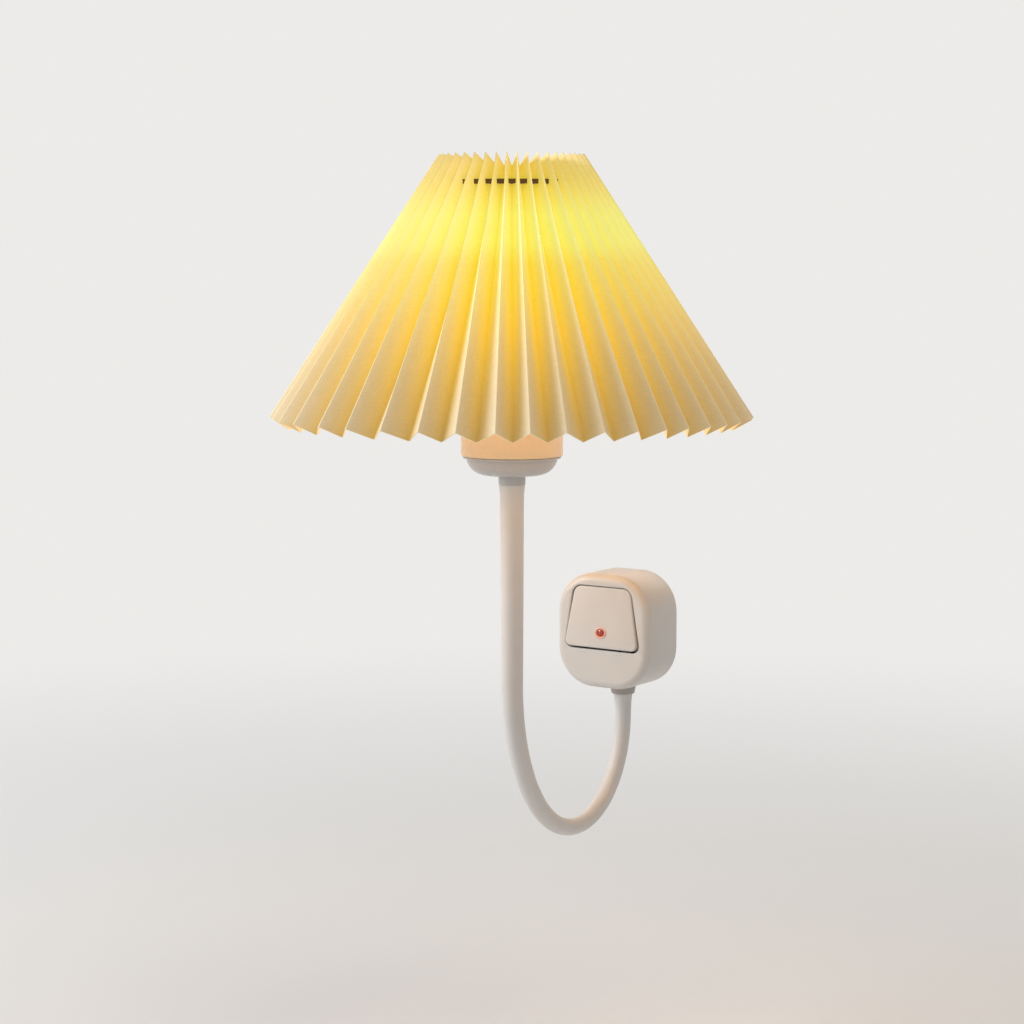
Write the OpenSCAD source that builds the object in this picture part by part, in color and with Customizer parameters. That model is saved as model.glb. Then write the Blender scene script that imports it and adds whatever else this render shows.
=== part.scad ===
// Plug-in wall light with a pleated shade on a bent gooseneck, sizes in millimetres.
// X points right, Y points into the wall and Z points up.
// The origin is the middle of the plug's back face.

/* [Plug] */
// Width of the plug shell
plug_width = 54; // [52:1:64]
// Height of the plug shell
plug_height = 58; // [54:1:70]
// Depth from the back face to the front face
plug_depth = 30; // [29.5:0.5:38]
// Corner radius seen from the front
plug_corner = 20; // [18:0.5:21]
// Rounding of the front edge
plug_edge = 5; // [4:0.5:6]
// Wall of the shell
plug_wall = 2; // [1.6:0.1:2.4]
// Thickness of the rear cover
cover_thick = 3.2; // [2.6:0.1:3.4]
// How far the cover stands out behind the shell
cover_proud = 1.2; // [0.6:0.1:1.6]
// From the back face to the neck's outlet
outlet_depth = 9; // [9:0.5:12]

/* [Blades] */
// Distance between the two blades
blade_pitch = 12.7; // [12:0.1:14]
// Width of a blade
blade_width = 6.3; // [6:0.1:6.5]
// Thickness of a blade
blade_thick = 1.5; // [1.4:0.1:1.6]
// Length of a blade behind the cover
blade_length = 16; // [14:0.5:19]

/* [Switch] */
// Width of the rocker's top edge
rocker_top_width = 32.5; // [28:0.5:34]
// Width of the rocker's bottom edge
rocker_low_width = 43; // [36:0.5:44]
// Height of the rocker
rocker_height = 31; // [29:0.5:32]
// From the top of the plug to the top of the rocker
rocker_margin = 6.7; // [6.5:0.1:9]
// Corner radius of the rocker
rocker_corner = 4; // [2:0.5:5]
// How far the rocker stands proud of the shell
rocker_proud = 0.6; // [0.4:0.1:1]
// Tilt of the rocker either way from level
rocker_tilt = 3.5; // [2:0.5:4]
// Diameter of the red lens
lens_diameter = 4.6; // [3.5:0.1:5]
// From the bottom edge of the rocker to the lens
lens_rise = 7.8; // [6:0.1:8.5]

/* [Neck] */
// Straight drop of the neck below the plug
neck_drop = 14; // [10:0.5:20]
// Reach of the bend on the plug's side
bend_out = 43.5; // [40:0.5:55]
// Reach of the bend on the lamp's side
bend_in = 58; // [52:0.5:66]
// Depth of the bend on the plug's side
bend_out_depth = 49.5; // [44:0.5:54]
// Depth of the bend on the lamp's side
bend_in_depth = 81.5; // [72:0.5:90]
// Straight rise of the neck up to the lamp
neck_rise = 94; // [86:0.5:110]
// Sleeve diameter at the plug
sleeve_root = 10.4; // [9.6:0.1:11]
// Sleeve diameter round the bend
sleeve_thin = 8.2; // [7.8:0.1:9]
// Sleeve diameter at the foot of the rise
sleeve_foot = 10.6; // [9:0.1:11]
// Sleeve diameter near the lamp
sleeve_thick = 11.3; // [10:0.1:12]
// Diameter of the gooseneck core
core_diameter = 5.8; // [5.6:0.1:6]
// Bore of the gooseneck core
core_bore = 4.3; // [4.2:0.1:4.6]
// Diameter of a lead
lead_diameter = 1.6; // [1.4:0.1:1.7]

/* [Lamp head] */
// Diameter of the collar under the cup
collar_diameter = 12.8; // [12:0.1:14]
// Height of the collar under the cup
collar_height = 4.7; // [4:0.1:6]
// Diameter of the flat under the cup
cup_flat = 24.6; // [22:0.2:27]
// Height of the cup
cup_height = 8; // [7:0.5:9]
// Radius of the cup's bulge
cup_curve = 9.4; // [9:0.1:10]
// Diameter of the holder's skirt
skirt_diameter = 48; // [47:0.2:52]
// Height of the holder's skirt
skirt_height = 38; // [37:0.5:44]
// Wall of the holder's skirt
skirt_wall = 1.5; // [1.2:0.1:1.6]

/* [Light source] */
// Diameter of the globe
globe_diameter = 56; // [50:1:58]
// From the rim of the screw cap to the foot of the globe
globe_foot = 44.5; // [40:0.5:46]
// Straight part at the foot of the globe
globe_straight = 9; // [6:0.5:10]

/* [Shade] */
// Number of pleats
pleats = 44; // [36:1:48]
// Turn of the pleats about the lamp's axis
pleat_turn = -56; // [-60:1:60]
// Radius of the outer folds at the top
fold_top = 34; // [33:0.5:36]
// Radius of the outer folds at the bottom
fold_low = 113; // [100:1:120]
// Height of the outer folds
shade_height = 121.5; // [112:0.5:128]
// From the cup's bottom up to the outer folds' lower ends
shade_lift = 28; // [25:0.5:31]
// Depth of a pleat at the top, square to the slant
pleat_top = 11.4; // [10.8:0.1:12]
// Depth of a pleat at the bottom, square to the slant
pleat_low = 8.6; // [8:0.1:9.6]
// Thickness of the shade's cloth on its backing
cloth_thick = 0.5; // [0.4:0.05:0.6]
// Radius of the ring in the notches
ring_radius = 36.5; // [35:0.25:37.5]
// Thickness of the ring
ring_thick = 2.2; // [1.8:0.1:2.6]
// From the top of the outer folds down to the ring's middle
ring_drop = 13.5; // [13:0.1:14.5]
// Diameter of a frame wire
wire_diameter = 2.4; // [2:0.1:2.6]

/* [Fits] */
// Gap round the rocker
rocker_gap = 0.7; // [0.6:0.05:0.9]
// Radial play of a turning pin
pin_play = 0.05; // [0.03:0.01:0.08]
// Gap between pieces that are put together
seat_gap = 0.1; // [0.08:0.01:0.15]

/* [Hidden] */
$fn = 64;

shell_paint = [0.93, 0.9, 0.85];
sleeve_paint = [0.95, 0.93, 0.9];
metal_paint = [0.94, 0.9, 0.84];
brass_paint = [0.8, 0.66, 0.35];
steel_paint = [0.7, 0.7, 0.72];
cloth_paint = [0.93, 0.78, 0.42];

// Plug
plug_front = -plug_depth;
inner_front = plug_front + plug_wall;
cavity_width = plug_width - 2 * plug_wall;
cavity_height = plug_height - 2 * plug_wall;
cavity_corner = plug_corner - plug_wall;
cover_front = -cover_thick;
exit_y = -outlet_depth;
exit_z = -plug_height / 2;
bush_height = 2.2;
bush_thread = 4;
bush_flange = 6.8;
pad_top = exit_z + plug_wall + 0.5;
locknut_height = 4;
screw_radius = 1.05;
screw_head = 2.2;
screw_length = 9;
boss_radius = 2.2;
boss_length = 12;
boss_spots = [
    [0, plug_height / 2 - 6],
    [plug_width / 2 - 13.5, 9 - plug_height / 2],
    [13.5 - plug_width / 2, 9 - plug_height / 2]
];

// Switch
rocker_top = plug_height / 2 - rocker_margin;
pivot_depth = 6;
pivot_y = plug_front + pivot_depth;
pivot_z = rocker_top - rocker_height / 2;
pivot_radius = 1.4;
pivot_reach = 2.8;
face_out = pivot_depth + rocker_proud;
face_thick = 4;
hub_width = 26;
hub_height = 16;
hub_back = 3.5;
lens_z = lens_rise - rocker_height / 2;
lens_seat = 2.6;
neon_radius = 1.6;
base_gap = 5;
base_depth = 8;
base_front = pivot_y + base_gap;
base_back = base_front + base_depth;
base_floor = base_back - 2;
base_width = 32;
base_height = 22;
ear_thick = 2.6;
post_radius = 1.8;
post_x = 7;
post_high = rocker_top + rocker_gap + 0.3 + post_radius;
post_low = pivot_z - rocker_height / 2 - rocker_gap - 0.3 - post_radius;
lever_y = base_front + 4.5;
lever_half = 6;
lever_tilt = 8;
plunger_tip = lever_y - 1.3 - pivot_y;
contact_z = pivot_z - 5.2;
contact_y = lever_y + lever_half * sin(lever_tilt) - 0.3 * cos(lever_tilt) + 0.1;
tail_back = cover_front - 3.4;

// Neck
outlet_z = exit_z - bush_height;
bend_z = outlet_z - neck_drop;
low_z = bend_z - bend_out_depth;
foot_z = low_z + bend_in_depth;
sleeve_top_z = foot_z + neck_rise;
head_y = exit_y - bend_out - bend_in;
low_y = exit_y - bend_out;
core_radius = core_diameter / 2;
sleeve_bore = core_radius + seat_gap;
core_start = pad_top + 1;
core_end = sleeve_top_z + 3.2;
lead_offset = core_bore / 4;
lead_radius = lead_diameter / 2;
drop_steps = [0, 0.1, 0.25, 0.45, 0.7];
rise_steps = [0, 0.2, 0.4, 0.6, 0.69, 0.78, 0.87, 0.93, 0.97, 1];
neck_path = concat(
    [for (t = drop_steps) [0, exit_y, outlet_z - neck_drop * t]],
    [for (a = [0 : 9 : 81]) [0, low_y + bend_out * cos(a), bend_z - bend_out_depth * sin(a)]],
    [for (a = [0 : 7.5 : 82.5]) [0, low_y - bend_in * sin(a), foot_z - bend_in_depth * cos(a)]],
    [for (t = rise_steps) [0, head_y, foot_z + neck_rise * t]]
);
last_step = len(neck_path) - 1;
low_steps = 15;
foot_steps = 27;
// Steps along the path to the end of each stretch of sleeve
outlet_steps = 5;
base_bend_steps = 9;
lower_steps = 13;
u_bend_steps = 18;
riser_steps = foot_steps + 3;
head_bend_steps = foot_steps + 6;

// Lamp head
cup_bottom = sleeve_top_z + collar_height;
cup_radius = cup_flat / 2 + sqrt(cup_height * (2 * cup_curve - cup_height));
cup_wall = 1.6;
cup_rim = cup_bottom + cup_height;
flange_height = 1;
skirt_radius = skirt_diameter / 2;
skirt_bore = skirt_radius - skirt_wall;
skirt_bottom = cup_rim + flange_height;
skirt_top = skirt_bottom + skirt_height;
ferrule_thread = 4;
ferrule_top = cup_bottom + 8.5;
washer_top = cup_bottom + cup_wall + 1;
nut_top = washer_top + 4;
holder_radius = 17.8;
holder_bottom = skirt_bottom + 4;
holder_floor = holder_bottom + 8;
holder_top = skirt_top + 8;
fitter_top = skirt_top + 1.6;
fitter_radius = 27;
retainer_radius = 21.5;
retainer_height = 5.4;
screw_bore = 14.5;
cap_radius = 13.1;
tip_z = holder_floor + 3;
cap_bottom = tip_z + 3.5;
cap_height = 22.5;
cap_top = cap_bottom + cap_height;
globe_radius = globe_diameter / 2;
globe_wall = 1.5;
globe_clear = 3;

// Shade
fold_low_z = cup_bottom + shade_lift;
fold_top_z = fold_low_z + shade_height;
slant = atan2(fold_low - fold_top, shade_height);
fold_out = [cos(slant), sin(slant)];
top_outer = [fold_top, fold_top_z];
low_outer = [fold_low, fold_low_z];
top_inner = top_outer - pleat_top * fold_out;
low_inner = low_outer - pleat_low * fold_out;
shade_rows = 4;
folds = 2 * pleats;
ring_z = fold_top_z - ring_drop;
ring_bottom = ring_z - ring_thick / 2;
// The globe keeps clear of the ring over it
globe_z = min(cap_top + globe_foot, ring_bottom - globe_clear - globe_radius - globe_straight);
leg_low_radius = 25;
leg_top_radius = 24;
leg_end = 3;
leg_bow = 15;
ring_inner = leg_top_radius - 4;

// Straight blend between two values
function mix(a, b, t) = a + (b - a) * t;

// Length of one
function unit(v) = v / norm(v);

// Direction of a path at one of its points
function heading(p, i) = unit(p[min(i + 1, len(p) - 1)] - p[max(i - 1, 0)]);

// Sideways direction at each point, carried along without twist
function sideways(p, n, i = 0) =
    i == len(p) ? [] :
    let (t = heading(p, i), m = unit(n - (n * t) * t))
    concat([m], sideways(p, m, i + 1));

// Distance travelled along a path up to a point
function travelled(p, i) = i == 0 ? 0 : travelled(p, i - 1) + norm(p[i] - p[i - 1]);

// Points of a circle square to the path
function hoop(c, t, m, r, n) =
    let (b = cross(t, m))
    [for (k = [0 : n - 1]) c + r * (cos(360 * k / n) * m + sin(360 * k / n) * b)];

// Quads round a tube, as triangles
function wrap(first, rings, n, out) = [
    for (j = [0 : rings - 2], k = [0 : n - 1])
    let (
        a = first + j * n + k,
        b = first + j * n + (k + 1) % n,
        c = b + n,
        d = a + n
    )
    each out ? [[a, c, b], [a, d, c]] : [[a, b, c], [a, c, d]]
];

// Flat ends between an outer and an inner circle
function annulus(o, i, n, start) = [
    for (k = [0 : n - 1])
    let (a = o + k, b = o + (k + 1) % n, c = i + (k + 1) % n, d = i + k)
    each start ? [[a, b, c], [a, c, d]] : [[a, c, b], [a, d, c]]
];

// Hollow tube along part of a path
module hollow(path, radii, bore, from, to, n) {
    m = sideways(path, [1, 0, 0]);
    count = to - from + 1;
    outer = [for (i = [from : to]) each hoop(path[i], heading(path, i), m[i], radii[i], n)];
    inner = [for (i = [from : to]) each hoop(path[i], heading(path, i), m[i], bore, n)];
    split = count * n;
    polyhedron(
        points = concat(outer, inner),
        faces = concat(
            wrap(0, count, n, true),
            wrap(split, count, n, false),
            annulus(0, split, n, true),
            annulus(split - n, 2 * split - n, n, false)
        ),
        convexity = 6
    );
}

// Solid wire along a path
module wire(path, r, n, first) {
    m = sideways(path, first);
    count = len(path);
    polyhedron(
        points = [for (i = [0 : count - 1]) each hoop(path[i], heading(path, i), m[i], r, n)],
        faces = concat(
            wrap(0, count, n, true),
            [[for (k = [0 : n - 1]) k]],
            [[for (k = [n - 1 : -1 : 0]) (count - 1) * n + k]]
        ),
        convexity = 6
    );
}

// Sleeve radius at each station of the neck
sleeve_length = travelled(neck_path, last_step);
sleeve_table = [
    [0, sleeve_root / 2],
    [neck_drop * 0.4, mix(sleeve_thin, sleeve_root, 0.3) / 2],
    [neck_drop, sleeve_thin / 2 + 0.05],
    [travelled(neck_path, low_steps), sleeve_thin / 2],
    [travelled(neck_path, foot_steps), sleeve_foot / 2],
    [sleeve_length - 9, sleeve_thick / 2],
    [sleeve_length - 4, sleeve_thick / 2 + 0.15],
    [sleeve_length, collar_diameter / 2 - 0.2]
];
sleeve_radii = [for (i = [0 : last_step]) lookup(travelled(neck_path, i), sleeve_table)];

module sleeve(from, to) {
    color(sleeve_paint) hollow(neck_path, sleeve_radii, sleeve_bore, from, to, 24);
}

// One side of a block whose front edge is rounded
module edge_section(r, d, e) {
    square([r - e, d]);
    square([r, d - e]);
    translate([r - e, d - e]) circle(e);
}

// Section right across such a block
module block_section(w, d, e) {
    translate([-w / 2, 0]) square([w, d - e]);
    translate([e - w / 2, 0]) square([w - 2 * e, d]);
    translate([w / 2 - e, d - e]) circle(e);
    translate([e - w / 2, d - e]) circle(e);
}

// Block with round corners and a round front edge, its back at Y zero
module soft_block(w, h, d, r, e) {
    rotate([90, 0, 0]) {
        rotate([90, 0, 90])
            linear_extrude(height = w - 2 * r, center = true)
                block_section(h, d, e);
        for (s = [0, 180])
            rotate([0, 0, s])
                translate([w / 2 - r, 0, 0])
                    rotate([90, 0, 0])
                        linear_extrude(height = h - 2 * r, center = true)
                            edge_section(r, d, e);
        for (x = [-1, 1], y = [-1, 1])
            translate([x * (w / 2 - r), y * (h / 2 - r), 0])
                rotate([0, 0, x > 0 ? (y > 0 ? 0 : 270) : (y > 0 ? 90 : 180)])
                    rotate_extrude(angle = 90)
                        edge_section(r, d, e);
    }
}

// Rectangle with round corners
module round_rect(w, h, r) {
    square([w - 2 * r, h], center = true);
    square([w, h - 2 * r], center = true);
    for (x = [-1, 1], y = [-1, 1])
        translate([x * (w / 2 - r), y * (h / 2 - r)]) circle(r);
}

// Trapezoid with round corners
module round_trapezoid(top, low, h, r) {
    n = unit([h, (low - top) / 2]);
    c = n * [top / 2, h / 2] - r;
    y = h / 2 - r;
    xt = (c - n[1] * y) / n[0];
    xl = (c + n[1] * y) / n[0];
    polygon([
        [xt, h / 2], [-xt, h / 2],
        [-xt - r * n[0], y + r * n[1]], [-xl - r * n[0], -y + r * n[1]],
        [-xl, -h / 2], [xl, -h / 2],
        [xl + r * n[0], -y + r * n[1]], [xt + r * n[0], y + r * n[1]]
    ]);
    for (s = [-1, 1]) {
        translate([s * xt, y]) circle(r);
        translate([s * xl, -y]) circle(r);
    }
}

// Draws in the front plane and pulls towards the room from a given depth
module pulled(y, length) {
    translate([0, y, 0])
        rotate([90, 0, 0])
            linear_extrude(height = length)
                children();
}

// Cylinder pointing out of the wall from a given depth
module peg(x, y, z, r, length) {
    translate([x, y, z])
        rotate([90, 0, 0])
            cylinder(r = r, h = length);
}

// Cylinder lying along X
module axle(y, z, r, length) {
    translate([0, y, z])
        rotate([0, 90, 0])
            cylinder(r = r, h = length, center = true);
}

// Stands on the lamp's axis
module on_axis() {
    translate([0, head_y, 0]) children();
}

// Ring turned round the lamp's axis
module turned_ring(inner, outer, low, high) {
    on_axis()
        rotate_extrude()
            translate([inner, low]) square([outer - inner, high - low]);
}

// Carries the rocker's pieces in their rest tilt
module on_pivot() {
    translate([0, pivot_y, pivot_z])
        rotate([-rocker_tilt, 0, 0])
            children();
}

// Plug housing
module plug_shell() {
    color(shell_paint)
        difference() {
            union() {
                difference() {
                    translate([0, -cover_proud, 0])
                        soft_block(plug_width, plug_height, plug_depth - cover_proud,
                            plug_corner, plug_edge);
                    translate([0, 1, 0])
                        soft_block(cavity_width, cavity_height, plug_depth - plug_wall + 1,
                            cavity_corner, plug_edge - plug_wall);
                }
                for (p = boss_spots)
                    peg(p[0], cover_front, p[1], boss_radius, boss_length);
                translate([-1, cover_front - boss_length, boss_spots[0][1]])
                    cube([2, boss_length, plug_height / 2 - plug_wall + 0.5 - boss_spots[0][1]]);
                for (s = [-1, 1])
                    peg(s * boss_spots[1][0], cover_front - boss_length + 0.5, boss_spots[1][1],
                        boss_radius, cover_front - boss_length - inner_front + 0.9);
                translate([-6.5, exit_y - 6, exit_z + 1])
                    cube([13, 5.6 - cover_thick - exit_y, pad_top - exit_z - 1]);
                for (s = [-1, 1], z = [post_high, post_low])
                    peg(s * post_x, base_front, z, post_radius, base_front - inner_front + 0.4);
            }
            translate([0, 0, pivot_z])
                pulled(inner_front + 0.9, plug_wall + 3)
                    round_trapezoid(rocker_top_width + 2 * rocker_gap,
                        rocker_low_width + 2 * rocker_gap,
                        rocker_height + 2 * rocker_gap, rocker_corner + rocker_gap);
            translate([0, exit_y, exit_z - 1])
                cylinder(r = bush_thread + seat_gap, h = plug_wall + 3);
            for (p = boss_spots)
                peg(p[0], cover_front + 1, p[1], screw_radius + pin_play, screw_length + 1);
        }
}

module rear_cover() {
    color(shell_paint)
        difference() {
            union() {
                pulled(0, cover_thick)
                    round_rect(cavity_width - 2 * seat_gap, cavity_height - 2 * seat_gap,
                        cavity_corner - seat_gap);
                for (s = [-1, 1])
                    peg(s * 12.5, cover_front + 0.5, pivot_z, 2.2, cover_front - base_back + 0.5);
            }
            for (s = [-1, 1])
                translate([s * blade_pitch / 2, 0, 0])
                    cube([blade_thick + 2 * seat_gap, 4 * cover_thick, blade_width + 2 * seat_gap],
                        center = true);
            for (p = boss_spots) {
                peg(p[0], 1, p[1], screw_radius + 0.25, cover_thick + 2);
                peg(p[0], 1, p[1], screw_head + 0.2, 2.4);
            }
        }
}

module cover_screws() {
    color(steel_paint)
        for (p = boss_spots) {
            peg(p[0], -1.4, p[1], screw_radius, screw_length);
            peg(p[0], -0.2, p[1], screw_head, 1.2);
        }
}

// A blade with its shoulder behind the cover and a tail for the lead
module blade(side) {
    color(brass_paint)
        translate([side * blade_pitch / 2, 0, 0]) {
            translate([-blade_thick / 2, cover_front - 0.5, -blade_width / 2])
                cube([blade_thick, blade_length - cover_front + 0.5, blade_width]);
            translate([-blade_thick / 2 - 0.5, cover_front - 1.8, -blade_width / 2 - 1])
                cube([blade_thick + 1, 1.8, blade_width + 2]);
            translate([-blade_thick / 2, cover_front - 5, -2])
                cube([blade_thick, 4, 4]);
        }
}

module blade_live() {
    blade(-1);
}

module blade_neutral() {
    blade(1);
}

// Rocker switch
module rocker() {
    color(shell_paint)
        on_pivot()
            difference() {
                union() {
                    pulled(face_thick - face_out, face_thick)
                        round_trapezoid(rocker_top_width, rocker_low_width, rocker_height, rocker_corner);
                    translate([-hub_width / 2, face_thick - face_out - 0.5, -hub_height / 2])
                        cube([hub_width, face_out - face_thick + 0.5 + hub_back, hub_height]);
                    axle(0, 0, pivot_radius, hub_width + 2 * pivot_reach);
                    peg(0, 1.5, lens_z, neon_radius + 1, face_out - face_thick + 2);
                }
                peg(0, hub_back + 1, 0, pivot_radius + pin_play, hub_back + 2.4);
                peg(0, lens_seat - face_out, lens_z, lens_diameter / 2 + pin_play, lens_seat + 1);
                peg(0, 2.5, lens_z, neon_radius + seat_gap, face_out + 2);
            }
}

module indicator_lens() {
    color([0.8, 0.15, 0.1])
        on_pivot()
            translate([0, lens_seat - face_out, lens_z])
                rotate([90, 0, 0])
                    rotate_extrude() {
                        square([lens_diameter / 2, lens_seat]);
                        intersection() {
                            translate([0, lens_seat - lens_diameter]) circle(lens_diameter + 0.3);
                            translate([0, lens_seat / 2])
                                square([lens_diameter / 2, lens_seat]);
                        }
                    }
}

module neon_lamp() {
    color([0.95, 0.6, 0.45])
        on_pivot() {
            peg(0, 1.2, lens_z, neon_radius, face_out - lens_seat + 0.2 - neon_radius);
            translate([0, 1 + neon_radius + lens_seat - face_out, lens_z])
                sphere(r = neon_radius);
        }
}

module switch_plunger() {
    color(steel_paint)
        on_pivot()
            rotate([-90, 0, 0])
                rotate_extrude()
                    polygon([
                        [0, -1.2], [pivot_radius, -1.2], [pivot_radius, plunger_tip - 1.2],
                        [0.5, plunger_tip], [0, plunger_tip]
                    ]);
}

module switch_base() {
    color([0.88, 0.86, 0.82])
        difference() {
            union() {
                translate([-base_width / 2, base_front, pivot_z - base_height / 2])
                    cube([base_width, base_back - base_front, base_height]);
                for (s = [0, 1])
                    mirror([s, 0, 0]) {
                        translate([base_width / 2 - ear_thick, pivot_y - 2.2, pivot_z - 4])
                            cube([ear_thick, base_front - pivot_y + 3, 8]);
                        translate([post_x - 2, base_front, pivot_z])
                            cube([4, 3, post_high + 1.5 - pivot_z]);
                        translate([post_x - 2, base_front, post_low - 1.5])
                            cube([4, 3, pivot_z - post_low + 1.5]);
                    }
            }
            axle(pivot_y, pivot_z, pivot_radius + pin_play, base_width + 2);
            translate([-4.5, base_front - 1, pivot_z - 8.5])
                cube([9, base_floor - base_front + 1, 17]);
            for (z = [pivot_z, contact_z])
                translate([0, base_back, z])
                    cube([2 + 2 * seat_gap, 10, 1.6 + 2 * seat_gap], center = true);
        }
}

// See-saw contact, its lower end closed at rest
module contact_lever() {
    color(brass_paint)
        translate([0, lever_y, pivot_z])
            rotate([lever_tilt, 0, 0]) {
                translate([-3, -1, -lever_half])
                    cube([6, 0.7, 2 * lever_half]);
                axle(0, 0, 0.7, 6);
            }
}

module terminal_common() {
    color(brass_paint)
        difference() {
            union() {
                translate([-2.5, lever_y + 0.35, pivot_z - 2])
                    cube([5, base_floor - lever_y - 0.35, 4]);
                translate([-1, base_floor - 0.5, pivot_z - 0.8])
                    cube([2, tail_back - base_floor + 0.5, 1.6]);
            }
            axle(lever_y, pivot_z, 0.7 + pin_play, 8);
        }
}

module terminal_line() {
    color(brass_paint) {
        translate([-1.5, contact_y, contact_z - 0.8])
            cube([3, base_floor - contact_y, 1.6]);
        translate([-1, base_floor - 0.5, contact_z - 0.8])
            cube([2, tail_back - base_floor + 0.5, 1.6]);
    }
}

// Neck with its end fittings
module exit_bush() {
    color(sleeve_paint)
        translate([0, exit_y, 0])
            rotate_extrude()
                polygon([
                    [sleeve_bore, outlet_z], [5.4, outlet_z], [bush_flange, exit_z], [bush_thread, exit_z],
                    [bush_thread, pad_top + 5.5], [core_bore / 2, pad_top + 5.5],
                    [core_bore / 2, core_start], [sleeve_bore, core_start]
                ]);
}

module lower_locknut() {
    color(steel_paint)
        translate([0, exit_y, pad_top])
            difference() {
                cylinder(r = 6, h = locknut_height, $fn = 6);
                translate([0, 0, -1]) cylinder(r = bush_thread + pin_play, h = locknut_height + 2);
            }
}

module sleeve_outlet() {
    sleeve(0, outlet_steps);
}

module sleeve_base_bend() {
    sleeve(outlet_steps, base_bend_steps);
}

module sleeve_lower() {
    sleeve(base_bend_steps, lower_steps);
}

module sleeve_u_bend() {
    sleeve(lower_steps, u_bend_steps);
}

module sleeve_riser() {
    sleeve(u_bend_steps, riser_steps);
}

module sleeve_head_bend() {
    sleeve(riser_steps, head_bend_steps);
}

module sleeve_top() {
    sleeve(head_bend_steps, last_step);
}

module gooseneck_core() {
    path = concat(
        [[0, exit_y, core_start]],
        neck_path,
        [[0, head_y, core_end]]
    );
    color(steel_paint)
        hollow(path, [for (p = path) core_radius], core_bore / 2, 0, len(path) - 1, 16);
}

// The neck's route moved sideways for one lead
function lead_path(x) = concat(
    [[x, exit_y, pad_top + 8.5], [x, exit_y, core_start]],
    [for (p = neck_path) p + [x, 0, 0]],
    [[x, head_y, core_end], [x, head_y, ferrule_top + 0.4]]
);

module lead_live() {
    color([0.5, 0.3, 0.2])
        translate([blade_thick / 2 - blade_pitch / 2, cover_front - 4.2, contact_z])
            rotate([0, 90, 0])
                cylinder(r = 0.7, h = blade_pitch / 2 - blade_thick / 2 - 1);
}

module lead_neutral() {
    side = blade_pitch / 2;
    tail_y = cover_front - 3.8;
    color([0.3, 0.4, 0.7])
        wire(
            concat(
                [
                    [side, tail_y, -2], [side, tail_y, -4], [side - 0.8, mix(tail_y, exit_y, 0.3), -8],
                    [side - 3, mix(tail_y, exit_y, 0.8), -13], [lead_offset + 0.3, exit_y, pad_top + 10.3]
                ],
                lead_path(lead_offset),
                [
                    [lead_offset + 0.5, head_y, ferrule_top + 1.2], [lead_offset + 2, head_y, ferrule_top + 2],
                    [6, head_y, ferrule_top + 2.6], [12, head_y, ferrule_top + 2.9],
                    [13.5, head_y, ferrule_top + 3.3], [14.05, head_y, ferrule_top + 3.9],
                    [14.05, head_y, holder_bottom - 0.2], [14.05, head_y, holder_floor + 2]
                ]
            ),
            lead_radius, 8, [1, 0, 0]
        );
}

module lead_switched() {
    tail_y = cover_front - 5.6;
    color([0.5, 0.3, 0.2])
        wire(
            concat(
                [
                    [-1, tail_y, pivot_z], [-1.8, tail_y, pivot_z], [-2.5, tail_y - 0.2, pivot_z - 0.6],
                    [-2.8, tail_y - 0.5, pivot_z - 2.2], [-2.8, tail_y - 0.5, -3],
                    [-2.2, mix(tail_y - 0.5, exit_y, 0.5), -10], [-lead_offset - 0.3, exit_y, pad_top + 10.3]
                ],
                lead_path(-lead_offset),
                [
                    [-lead_offset - 0.4, head_y, ferrule_top + 1.2], [-2.3, head_y, ferrule_top + 2.3],
                    [-3, head_y, ferrule_top + 3.3], [-3, head_y, holder_bottom - 0.2],
                    [-3, head_y, holder_floor]
                ]
            ),
            lead_radius, 8, [0, 0, 1]
        );
}

module upper_ferrule() {
    color(metal_paint)
        on_axis()
            rotate_extrude()
                polygon([
                    [sleeve_bore, sleeve_top_z], [collar_diameter / 2, sleeve_top_z],
                    [collar_diameter / 2, cup_bottom], [ferrule_thread, cup_bottom],
                    [ferrule_thread, ferrule_top], [core_bore / 2, ferrule_top],
                    [core_bore / 2, core_end], [sleeve_bore, core_end]
                ]);
}

// Half section of the cup's bowl
module bowl_section(inset) {
    bottom = cup_bottom + inset;
    translate([0, bottom]) square([cup_flat / 2, cup_rim - bottom]);
    intersection() {
        translate([cup_flat / 2, cup_bottom + cup_curve]) circle(cup_curve - inset);
        translate([cup_flat / 2, bottom]) square([cup_curve, cup_rim - bottom]);
    }
}

// Lamp head
module cup() {
    lip = skirt_bore - seat_gap;
    bore = cup_radius - cup_wall;
    color(metal_paint)
        on_axis()
            rotate_extrude()
                difference() {
                    union() {
                        bowl_section(0);
                        translate([0, cup_rim]) square([skirt_radius - 0.8, flange_height]);
                        translate([0, cup_rim]) square([lip, flange_height + 3]);
                    }
                    bowl_section(cup_wall);
                    translate([0, cup_rim - 0.5]) square([bore, 10]);
                    translate([0, cup_bottom - 1]) square([ferrule_thread + pin_play, 5]);
                }
}

module cup_washer() {
    color(steel_paint)
        turned_ring(ferrule_thread + seat_gap, 8, cup_bottom + cup_wall, washer_top);
}

module cup_locknut() {
    color(steel_paint)
        on_axis()
            translate([0, 0, washer_top])
                difference() {
                    cylinder(r = 6.8, h = nut_top - washer_top, $fn = 6);
                    translate([0, 0, -1]) cylinder(r = ferrule_thread + pin_play, h = 10);
                }
}

module holder_skirt() {
    color(metal_paint)
        on_axis()
            rotate_extrude()
                difference() {
                    union() {
                        translate([0, skirt_bottom]) square([skirt_radius, skirt_height - 2]);
                        translate([0, skirt_bottom]) square([skirt_radius - 2, skirt_height]);
                        translate([skirt_radius - 2, skirt_top - 2]) circle(2);
                    }
                    translate([-1, skirt_bottom - 1]) square([skirt_bore + 1, skirt_height - 1]);
                    translate([-1, skirt_bottom]) square([holder_radius + 1 + seat_gap, skirt_height + 1]);
                }
}

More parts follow.
